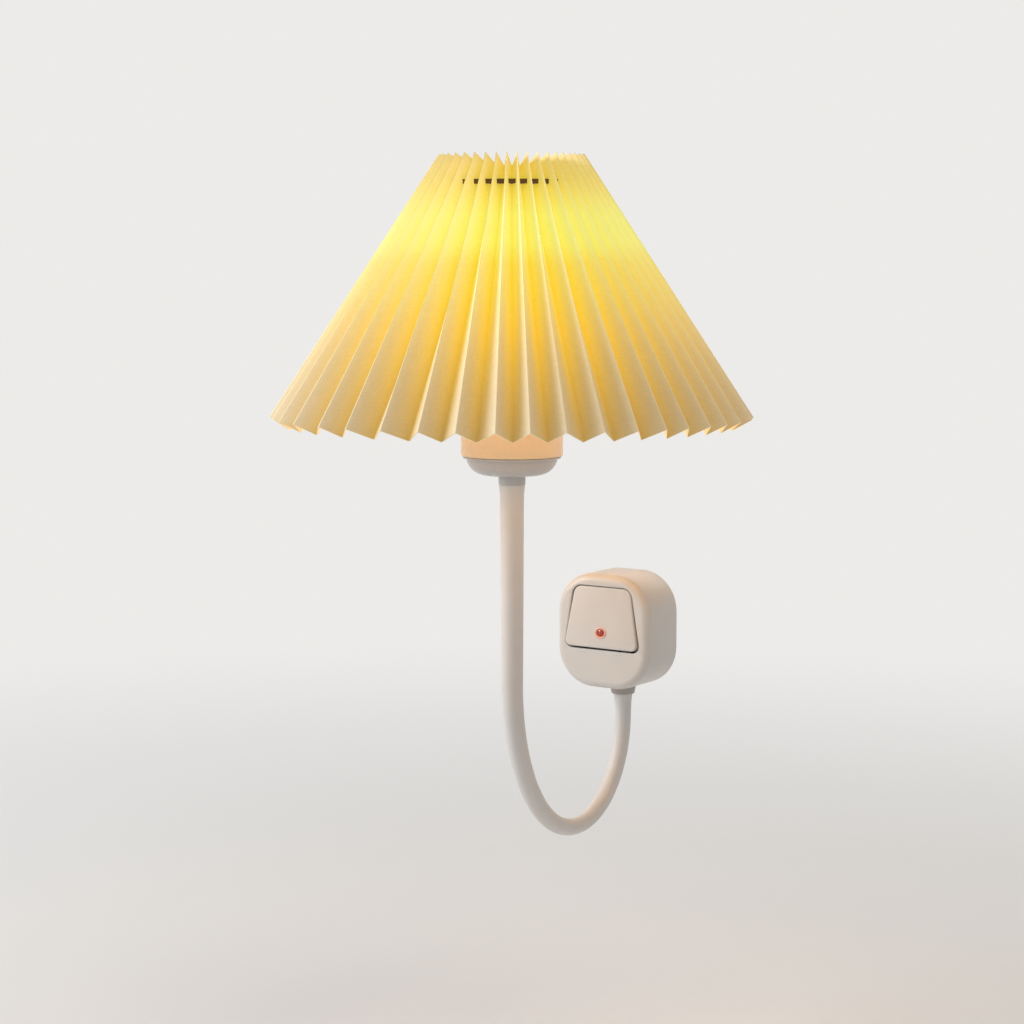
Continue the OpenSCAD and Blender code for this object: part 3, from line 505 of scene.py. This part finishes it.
kept = {}
for r in range(len(rows) - 1):
    for c in range(columns):
        n = (c + 1) % columns
        quad = [grid[r][c], grid[r][n], grid[r + 1][n], grid[r + 1][c]]
        if rows[r] == NOTCH_LOW and max(spot.depth for spot in quad) <= NOTCH_SHARE + TINY:
            continue
        lap = 1 if n == 0 else 0
        places = [(spot.along + more, spot.level) for spot, more in zip(quad, (0, lap, lap, 0))]
        cloth_face([spot.outer for spot in quad], places, OUTSIDE)
        cloth_face([spot.inner for spot in reversed(quad)], reversed(places), INSIDE)
        kept[(r, c)] = quad, places
for (r, c), (quad, places) in kept.items():
    before, after = (r, (c - 1) % columns), (r, (c + 1) % columns)
    for beside, i, j in [((r - 1, c), 0, 1), ((r + 1, c), 2, 3), (before, 3, 0), (after, 1, 2)]:
        if beside not in kept:
            rim = cloth_face([quad[j].outer, quad[i].outer, quad[i].inner, quad[j].inner],
                             [places[j], places[i], places[i], places[j]],
                             EDGE if beside[0] in (-1, len(rows) - 1) else OUTSIDE)
            for edge in rim.edges:
                edge.smooth = False
shape.to_mesh(shade.data)
shape.free()
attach(shade, "head")
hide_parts("pleated_shade")

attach(case, "plug")
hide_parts("plug_shell")
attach(paddle, "rocker")
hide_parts("rocker")


# Turned pieces: an outline of radii and heights in millimetres, spun round its axis
def arc(r, z, radius, start, end, steps):
    turns = [math.radians(start + (end - start) * i / steps) for i in range(steps + 1)]
    return [(r + radius * math.cos(a), z + radius * math.sin(a)) for a in turns]


def turned(name, outline, y):
    """A point pulled along an outline, closed and spun."""
    deselect()
    r, z = outline[0]
    bpy.ops.mesh.primitive_plane_add(size=MM, location=(r * MM, y, z * MM))
    piece = call_it(name)
    fix_place()
    bpy.ops.object.mode_set(mode="EDIT")
    bpy.ops.mesh.select_mode(type="VERT")
    bpy.ops.mesh.select_all(action="SELECT")
    bpy.ops.mesh.merge(type="CENTER")
    for (r0, z0), (r1, z1) in zip(outline, outline[1:]):
        step = ((r1 - r0) * MM, 0, (z1 - z0) * MM)
        bpy.ops.mesh.extrude_region_move(TRANSFORM_OT_translate={"value": step})
    ends = [Vector((r * MM, y, z * MM)) for r, z in (outline[0], outline[-1])]
    choose(piece, "verts", lambda v: min((v.co - e).length for e in ends) < TINY)
    bpy.ops.mesh.edge_face_add()
    bpy.ops.mesh.select_all(action="SELECT")
    bpy.ops.mesh.spin(steps=96, angle=2 * math.pi, center=(0, y, 0), axis=(0, 0, 1))
    bpy.ops.mesh.select_all(action="SELECT")
    bpy.ops.mesh.remove_doubles(threshold=2 * TINY)
    bpy.ops.mesh.normals_make_consistent(inside=False)
    return close_mesh(piece, smooth=40)


CUP = ([(4.1, 85.5)] + arc(12.3, 94.9, 9.4, -90, -8.6, 14) + [(22.7, 93.5)]
       + arc(22.85, 93.85, 0.35, -90, 0, 4) + arc(22.85, 94.1, 0.35, 0, 90, 4)
       + [(22.4, 94.45), (22.4, 97.5), (20, 97.5)] + arc(12.3, 94.9, 7.8, -10.3, -90, 10) + [(4.1, 87.1)])
SKIRT = (arc(23.5, 95.1, 0.5, -90, 0, 5) + arc(22, 130.5, 2, 0, 90, 8)
         + [(17.9, 132.5), (17.9, 130.5), (22.5, 130.5), (22.5, 94.9), (22.8, 94.6)])
COLLAR = ([(3, 80.8)] + arc(6.1, 81.15, 0.3, -90, 0, 4) + arc(6.1, 85.1, 0.3, 0, 90, 4)
          + [(4, 85.4), (4, 94), (2.15, 94), (2.15, 84), (3, 84)])
BUSH = ([(3, -31.2), (5.25, -31.2)] + arc(5.6, -33.9, 0.3, -180, -20, 6) + arc(6.5, -29.35, 0.35, -20, 90, 6)
        + [(4, -29), (4, -21), (2.15, -21), (2.15, -25.5), (3, -25.5)])
bowl = turned("holder_cup", CUP, HEAD_Y)
skirt = turned("holder_sleeve", SKIRT, HEAD_Y)
collar = turned("neck_collar", COLLAR, HEAD_Y)
bush = turned("outlet_bush", BUSH, EXIT_Y)
for piece, body, node in [(bowl, "head", "cup"), (skirt, "head", "holder_skirt"),
                          (collar, "head", "upper_ferrule"), (bush, "plug", "exit_bush")]:
    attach(piece, body)
    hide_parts(node)

# Pale bead round the red lens, flattened and a little wider than high, carrying the lens's halo as painted
# glow
BEAD_RADIUS, BEAD_THICK, BEAD_SHAPE = 2.85 * MM, 0.55 * MM, (1, 0.75, 0.84)
deselect()
bpy.ops.mesh.primitive_torus_add(major_segments=48, minor_segments=12, major_radius=BEAD_RADIUS,
                                 minor_radius=BEAD_THICK, location=lens_place, rotation=ALONG_Y)
bead = call_it("lens_bead")
fix_place()
open_mesh(bead)
bpy.ops.mesh.select_all(action="SELECT")
bpy.ops.transform.resize(value=BEAD_SHAPE, center_override=lens_place)
deselect()
bead.data.transform(rest_tilt)
close_mesh(bead)
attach(bead, "rocker")


# Materials
def linear(colour):
    """An sRGB hex colour as linear light."""
    parts = [int(colour[i:i + 2], 16) / 255 for i in (1, 3, 5)]
    return [p / 12.92 if p <= 0.04045 else ((p + 0.055) / 1.055) ** 2.4 for p in parts] + [1]


def add(material, kind, inputs=None, **settings):
    """Adds a node with its settings; an input takes a value or another node's output."""
    node = material.node_tree.nodes.new("ShaderNode" + kind)
    for name, value in settings.items():
        setattr(node, name, value)
    for name, value in (inputs or {}).items():
        if isinstance(value, bpy.types.NodeSocket):
            material.node_tree.links.new(value, node.inputs[name])
        else:
            node.inputs[name].default_value = value
    return node


def surface(name, **sockets):
    """A material with its shader's own values."""
    material = bpy.data.materials.new(name)
    material.use_nodes = True
    shader = material.node_tree.nodes["Principled BSDF"]
    for socket, value in sockets.items():
        shader.inputs[socket.replace("_", " ")].default_value = value
    return material, shader


def link(material, output, shader, socket):
    material.node_tree.links.new(output, shader.inputs[socket])


# Moulded and rolled surfaces have a grain under 0.1 mm, drawn several times coarser so that it shows
def two_tone(material, shader, low, high, grain_mm, drift_mm, bump, rough=None):
    """Colour and gloss that drift between two values over drift_mm, and a grain that lifts the surface."""
    place = add(material, "TexCoord").outputs["Object"]
    drift = add(material, "TexNoise", {"Vector": place, "Scale": 1 / (drift_mm * MM), "Detail": 3,
                                       "Roughness": 0.55}).outputs["Fac"]
    tone = add(material, "Mix", {"Factor": drift, "A": linear(low), "B": linear(high)}, data_type="RGBA")
    link(material, tone.outputs["Result"], shader, "Base Color")
    grain = add(material, "TexNoise", {"Vector": place, "Scale": 1 / (grain_mm * MM), "Detail": 2})
    lift = add(material, "Bump", {"Height": grain.outputs["Fac"], "Strength": bump, "Distance": 0.1 * MM})
    link(material, lift.outputs["Normal"], shader, "Normal")
    if rough:
        gloss = add(material, "MapRange", {"Value": drift, "From Min": 0.3, "From Max": 0.7,
                                           "To Min": rough[0], "To Max": rough[1]})
        link(material, gloss.outputs["Result"], shader, "Roughness")


# Plug and rocker, moulded: plain off-white with a soft, slightly uneven sheen
moulded_abs, shader = surface("moulded_abs", IOR=1.54)
two_tone(moulded_abs, shader, "#CAC8C5", "#D1CFCC",
         grain_mm=0.5, drift_mm=22, bump=0.06, rough=(0.3, 0.42))
# Outlet bush, moulded: a dull grey ring that sets the plug off from the neck, its grey painted shade from
# under the plug
shaded_nylon, shader = surface("nylon_bush_painted_shade", IOR=1.53)
two_tone(shaded_nylon, shader, "#9E9894", "#ABA6A2",
         grain_mm=0.5, drift_mm=10, bump=0.06, rough=(0.4, 0.52))
# Neck's sleeve, moulded soft: milky white with a broad, dull highlight along the tube
moulded_pvc, shader = surface("moulded_soft_pvc", IOR=1.53)
two_tone(moulded_pvc, shader, "#D2D0CE", "#DAD8D6",
         grain_mm=0.6, drift_mm=14, bump=0.08, rough=(0.42, 0.56))
# Cup and collar, sprayed and stoved: the light enamel painted a darker grey for the shade they lie in under
# the head, smooth with a clear highlight
shaded_enamel, shader = surface("stoved_enamel_painted_shade", IOR=1.52)
two_tone(shaded_enamel, shader, "#B8B4B1", "#C1BEBB",
         grain_mm=0.9, drift_mm=30, bump=0.05, rough=(0.24, 0.34))
# Skirt, sprayed and stoved: the light enamel tinted warm ivory, the lamp's warm light painted into its
# colour, a warm pale band
lamplit_enamel, shader = surface("stoved_enamel_painted_lamplight", IOR=1.52)
two_tone(lamplit_enamel, shader, "#DCC7A4", "#E3D2B4",
         grain_mm=0.9, drift_mm=30, bump=0.05, rough=(0.24, 0.34))
# Blades and contacts, stamped from sheet: yellow metal with slightly smeared reflections
stamped_brass, shader = surface("stamped_brass", Metallic=1)
two_tone(stamped_brass, shader, "#B99757", "#D2B26E",
         grain_mm=0.4, drift_mm=6, bump=0.05, rough=(0.22, 0.38))
# Screws, nuts, wires and the neck's core, plated: bright cool metal, clouded by the plating
plated_steel, shader = surface("zinc_plated_steel", Metallic=1)
two_tone(plated_steel, shader, "#A9ABAE", "#C6C7CA",
         grain_mm=0.5, drift_mm=5, bump=0.05, rough=(0.26, 0.42))
# Lamp socket, glazed and fired: white with a sharp, wet gloss
glazed_porcelain, shader = surface("glazed_porcelain", IOR=1.5)
two_tone(glazed_porcelain, shader, "#EDEAE4", "#F4F2EE",
         grain_mm=1.2, drift_mm=12, bump=0.02, rough=(0.08, 0.16))
# Insulator of the light source's cap, pressed hot: near black with a sharp gloss
pressed_glass, shader = surface("pressed_black_glass", IOR=1.52)
two_tone(pressed_glass, shader, "#121214", "#1C1C20",
         grain_mm=1, drift_mm=8, bump=0.02, rough=(0.08, 0.16))
# Light source's body and the retaining ring, moulded: plain white, nearly matt
moulded_white, shader = surface("moulded_white_plastic", IOR=1.55)
two_tone(moulded_white, shader, "#E8E8E4", "#F0F0EC",
         grain_mm=0.5, drift_mm=15, bump=0.05, rough=(0.4, 0.52))
# Light source's board, rolled: pale metal with blurred reflections
rolled_aluminium, shader = surface("rolled_aluminium", Metallic=1)
two_tone(rolled_aluminium, shader, "#C9CBCE", "#DDDFE1",
         grain_mm=0.5, drift_mm=8, bump=0.05, rough=(0.3, 0.45))
# Shade's ring, sprayed and stoved: a dull brown line where it shows between the pleats
brown_enamel, shader = surface("stoved_brown_enamel", IOR=1.52)
two_tone(brown_enamel, shader, "#543810", "#664818",
         grain_mm=0.7, drift_mm=6, bump=0.06, rough=(0.55, 0.7))
# Leads, extruded: even colour with a dull sheen along the wire
brown_pvc, shader = surface("extruded_brown_pvc", IOR=1.53)
two_tone(brown_pvc, shader, "#5E3A25", "#6E472F",
         grain_mm=0.5, drift_mm=8, bump=0.05, rough=(0.4, 0.5))
blue_pvc, shader = surface("extruded_blue_pvc", IOR=1.53)
two_tone(blue_pvc, shader, "#33508F", "#4163A8",
         grain_mm=0.5, drift_mm=8, bump=0.05, rough=(0.4, 0.5))
# Lens over the neon lamp, moulded: deep red with a small sharp highlight and a faint glow
red_lens, shader = surface("moulded_red_polycarbonate", IOR=1.585,
                           Emission_Color=linear("#C8301A"), Emission_Strength=0.07)
two_tone(red_lens, shader, "#86271A", "#A03A28",
         grain_mm=0.6, drift_mm=3, bump=0.03, rough=(0.08, 0.16))
# Neon lamp, drawn: glossy glass with an orange glow
neon_glass, shader = surface("drawn_neon_glass", IOR=1.52,
                             Emission_Color=linear("#FF7A45"), Emission_Strength=0.8)
two_tone(neon_glass, shader, "#E79A78", "#F2B090",
         grain_mm=0.6, drift_mm=4, bump=0.02, rough=(0.06, 0.12))
# Bead round the lens, moulded: a pale pink rim that frames the red, its pink the lens's red glow painted on
# as a halo
halo_pink_abs, shader = surface("bead_abs_painted_halo", IOR=1.54)
two_tone(halo_pink_abs, shader, "#E2A08C", "#EAB2A0",
         grain_mm=0.5, drift_mm=4, bump=0.04, rough=(0.26, 0.36))
# Globe, blown: an even, bright cream that hides the light source behind it
opal_globe, shader = surface("blown_opal_polycarbonate", IOR=1.585,
                             Emission_Color=linear("#FFEFC4"), Emission_Strength=6)
two_tone(opal_globe, shader, "#F6EFDC", "#FBF6E8",
         grain_mm=0.8, drift_mm=14, bump=0.03, rough=(0.3, 0.4))

# Pleated linen on clear film: uneven threads show faintly, light from within shows yellow behind the globe
# The threads are drawn 0.6 mm apart, about twice their real spacing, so that they show
THREAD_MM, SLUB_MM = 0.6, 5
CLOTH_LOW_Z, CLOTH_TOP_Z = 108.8 * MM, 235 * MM
linen, shader = surface("pleated_linen", IOR=1.53, Roughness=0.75, Sheen_Weight=0.1, Sheen_Roughness=0.5)
strip = add(linen, "UVMap", uv_map="strip").outputs["UV"]
cloth_mm = add(linen, "Mapping", {"Vector": strip, "Scale": (STRIP_LENGTH / MM, STRIP_WIDTH / MM, 1)})
threads = []
for scale in [(1 / THREAD_MM, 1 / SLUB_MM, 1), (1 / SLUB_MM, 1 / THREAD_MM, 1)]:
    way = add(linen, "Mapping", {"Vector": cloth_mm.outputs["Vector"], "Scale": scale}).outputs["Vector"]
    thread = add(linen, "TexNoise", {"Vector": way, "Scale": 1, "Detail": 2, "Roughness": 0.6})
    threads.append(thread.outputs["Fac"])
weave = add(linen, "Math", {0: threads[0], 1: threads[1]}, operation="ADD").outputs["Value"]
fold = add(linen, "Attribute", attribute_name="fold").outputs["Fac"]
height = add(linen, "SeparateXYZ", {"Vector": add(linen, "TexCoord").outputs["Object"]}).outputs["Z"]
level = add(linen, "MapRange", {"Value": height, "From Min": CLOTH_LOW_Z, "From Max": CLOTH_TOP_Z})
glow = add(linen, "ValToRGB", {"Fac": level.outputs["Result"]})
# Light through the cloth from its lower edge to its upper one
STOPS = [(0, "#61552F"), (0.16, "#897327"), (0.36, "#AC921D"), (0.5, "#AFA01D"), (0.6, "#ACA527"),
         (0.67, "#AAB745"), (0.77, "#A7B64A"), (0.88, "#A19B30"), (1, "#908530")]
while len(glow.color_ramp.elements) < len(STOPS):
    glow.color_ramp.elements.new(0.5)
for element, (position, colour) in zip(glow.color_ramp.elements, STOPS):
    element.position = position
    element.color = linear(colour)
# It is stronger in the valleys than on the ridges, the more so near the lower edge
panel = {"Value": fold, "From Min": 0.05, "From Max": 0.85}
lower = add(linen, "MapRange", {**panel, "To Min": 1.17, "To Max": 0.45}, interpolation_type="SMOOTHSTEP")
upper = add(linen, "MapRange", {**panel, "To Min": 1.1, "To Max": 0.86}, interpolation_type="SMOOTHSTEP")
near = add(linen, "MapRange", {"Value": level.outputs["Result"], "From Min": 0.1, "From Max": 0.72},
           interpolation_type="SMOOTHSTEP").outputs["Result"]
share = add(linen, "Mix", {"Factor": near, "A": lower.outputs["Result"], "B": upper.outputs["Result"]},
            data_type="FLOAT").outputs["Result"]
fibre = add(linen, "MapRange", {"Value": weave, "From Min": 0.7, "From Max": 1.3,
                                "To Min": 0.95, "To Max": 1.05}).outputs["Result"]
strength = add(linen, "Math", {0: share, 1: fibre}, operation="MULTIPLY")
# Painted shade and highlight: the cloth is darker and more golden in the valleys, paler toward the ridges,
# and a painted highlight line runs along each ridge
across = add(linen, "Mix", {"Factor": fold, "A": linear("#C49F4E"), "B": linear("#EBDCBE")}, data_type="RGBA")
woven = add(linen, "VectorMath", {0: across.outputs["Result"], "Scale": fibre}, operation="SCALE")
# Mask of the painted highlight line along the ridges
ridge = add(linen, "MapRange", {"Value": fold, "From Min": 0.955, "From Max": 0.985}).outputs["Result"]
ridge_highlight = add(linen, "Mix", {"Factor": near, "A": linear("#F6EACE"), "B": linear("#D2B478")}, data_type="RGBA")
pale = add(linen, "Mix", {"Factor": ridge, "A": woven.outputs["Vector"], "B": ridge_highlight.outputs["Result"]},
           data_type="RGBA")
relief = add(linen, "Bump", {"Height": weave, "Strength": 0.2, "Distance": 0.12 * MM})
link(linen, pale.outputs["Result"], shader, "Base Color")
link(linen, glow.outputs["Color"], shader, "Emission Color")
link(linen, strength.outputs["Value"], shader, "Emission Strength")
link(linen, relief.outputs["Normal"], shader, "Normal")

# Inside of the film, laminated on: a soft sheen with warm lamplight on it, palest beside the globe
GLOBE_TOP_Z = 190 * MM
film, shader = surface("laminated_film", IOR=1.57, Emission_Color=linear("#FFBB62"))
two_tone(film, shader, "#E6D3A2", "#EFDFB6",
         grain_mm=0.8, drift_mm=12, bump=0.03, rough=(0.3, 0.42))
height = add(film, "SeparateXYZ", {"Vector": add(film, "TexCoord").outputs["Object"]}).outputs["Z"]
level = add(film, "MapRange", {"Value": height, "From Min": CLOTH_LOW_Z, "From Max": GLOBE_TOP_Z,
                               "To Min": 0.36, "To Max": 1.05})
fold = add(film, "Attribute", attribute_name="fold").outputs["Fac"]
hollow = add(film, "MapRange", {"Value": fold, "To Min": 1.25, "To Max": 0.55})
lamplight = add(film, "Math", {0: level.outputs["Result"], 1: hollow.outputs["Result"]},
                operation="MULTIPLY")
link(film, lamplight.outputs["Value"], shader, "Emission Strength")
# Edge of cloth and film, cut: a thin, pale, matt line with some of the lamp's light in it
cut_edge, shader = surface("cut_laminate_edge", IOR=1.53, Roughness=0.6,
                           Emission_Color=linear("#E8C070"), Emission_Strength=0.12)
two_tone(cut_edge, shader, "#EFE3C2", "#F7EED6",
         grain_mm=0.8, drift_mm=5, bump=0.03)

DRESS = {
    moulded_abs: ["rear_cover", "switch_base"],
    plated_steel: ["cover_screws", "switch_plunger", "lower_locknut", "cup_washer", "cup_locknut",
                   "bulb_contact", "bulb_cap", "fitter_ring"],
    stamped_brass: ["blade_live", "blade_neutral", "contact_lever", "terminal_common", "terminal_line",
                    "screw_shell", "centre_contact"],
    glazed_porcelain: ["lamp_socket"],
    moulded_white: ["retaining_ring", "bulb_body"],
    pressed_glass: ["bulb_insulator"],
    rolled_aluminium: ["led_board"],
    opal_globe: ["bulb_globe"],
    brown_enamel: ["shade_ring"],
    red_lens: ["indicator_lens"],
    neon_glass: ["neon_lamp"],
    brown_pvc: ["lead_live"],
}
for material, names in DRESS.items():
    for name in names:
        nodes[name].data.materials.clear()
        nodes[name].data.materials.append(material)
PIECES = [
    ([case], moulded_abs, "housing"),
    ([bush], shaded_nylon, "housing"),
    ([paddle], moulded_abs, "rocker"),
    ([bead], halo_pink_abs, "rocker"),
    (sleeves, moulded_pvc, "sleeve"),
    (cores, plated_steel, "steel"),
    (leads["neutral"], blue_pvc, "lead_blue"),
    (leads["switched"], brown_pvc, "lead_brown"),
    (legs, plated_steel, "steel"),
    ([shade], linen, "cloth"),
    ([bowl, collar], shaded_enamel, "paint"),
    ([skirt], lamplit_enamel, "paint"),
]
for pieces, material, slot in PIECES:
    for piece in pieces:
        # Clearing an empty list would reset the sides of the cloth
        if piece.data.materials:
            piece.data.materials.clear()
        piece.data.materials.append(material)
shade.data.materials.append(cut_edge)
shade.data.materials.append(film)

# Stage: a pale floor that fades into the background and is clear from below
BACKGROUND = linear("#ECEBE9")
FLOOR_SIZE, FLOOR_Z, FADE_START, FADE_END = 30, -0.2, 0.2, 1.3
deselect()
bpy.ops.mesh.primitive_grid_add(x_subdivisions=2, y_subdivisions=2, size=FLOOR_SIZE,
                                location=(0, HEAD_Y, FLOOR_Z))
floor = call_it("floor")
# Matt paper: shadows fall softly on it and it has no highlight
ground, shader = surface("matt_paper", Roughness=0.7, Base_Color=linear("#ECF0F4"))
away = add(ground, "VectorMath", {0: add(ground, "TexCoord").outputs["Object"]}, operation="LENGTH")
fade = add(ground, "MapRange", {"Value": away.outputs["Value"], "From Min": FADE_START,
                                "From Max": FADE_END}, interpolation_type="SMOOTHSTEP")
far = add(ground, "Emission", {"Color": BACKGROUND, "Strength": 1})
both = add(ground, "MixShader", {0: fade.outputs["Result"], 1: shader.outputs["BSDF"],
                                 2: far.outputs["Emission"]})
below = add(ground, "NewGeometry").outputs["Backfacing"]
clear = add(ground, "BsdfTransparent").outputs["BSDF"]
one_way = add(ground, "MixShader", {0: below, 1: both.outputs["Shader"], 2: clear})
link(ground, one_way.outputs["Shader"], ground.node_tree.nodes["Material Output"], "Surface")
floor.data.materials.append(ground)

# World: a plain background to look at, and a softer one that lights the lamp
world = bpy.data.worlds.new("studio")
bpy.context.scene.world = world
world.use_nodes = True
rays = add(world, "LightPath").outputs
seen = add(world, "Math", {0: rays["Is Camera Ray"], 1: rays["Is Glossy Ray"]}, operation="MAXIMUM")
seen = add(world, "Math", {0: seen.outputs["Value"], 1: rays["Is Transmission Ray"]}, operation="MAXIMUM")
soft = add(world, "Background", {"Color": linear("#F6F5F3"), "Strength": 0.29})
plain = add(world, "Background", {"Color": BACKGROUND, "Strength": 1})
sky = add(world, "MixShader", {0: seen.outputs["Value"], 1: soft.outputs["Background"],
                               2: plain.outputs["Background"]})
link(world, sky.outputs["Shader"], world.node_tree.nodes["World Output"], "Surface")

# Soft lights from both sides and from behind
LIGHTS_AIM = Vector((0, HEAD_Y, 0.08))


def soft_light(name, place, size, power, colour):
    lamp = new_object(name, bpy.data.lights.new(name, "AREA"))
    lamp.data.shape = "SQUARE"
    lamp.data.size = size
    lamp.data.energy = power
    lamp.data.color = linear(colour)[:3]
    lamp.location = place
    lamp.rotation_euler = (LIGHTS_AIM - Vector(place)).to_track_quat("-Z", "Y").to_euler()


soft_light("key", (-1.25, -1.05, 0.75), size=0.9, power=20, colour="#FFFFFF")
soft_light("fill", (0.6, -0.15, 1.6), size=1.0, power=7, colour="#FFD6A4")
soft_light("back", (-0.2, 1.1, 0.9), size=1.0, power=3, colour="#FFFFFF")

bpy.context.scene.view_settings.view_transform = "Standard"
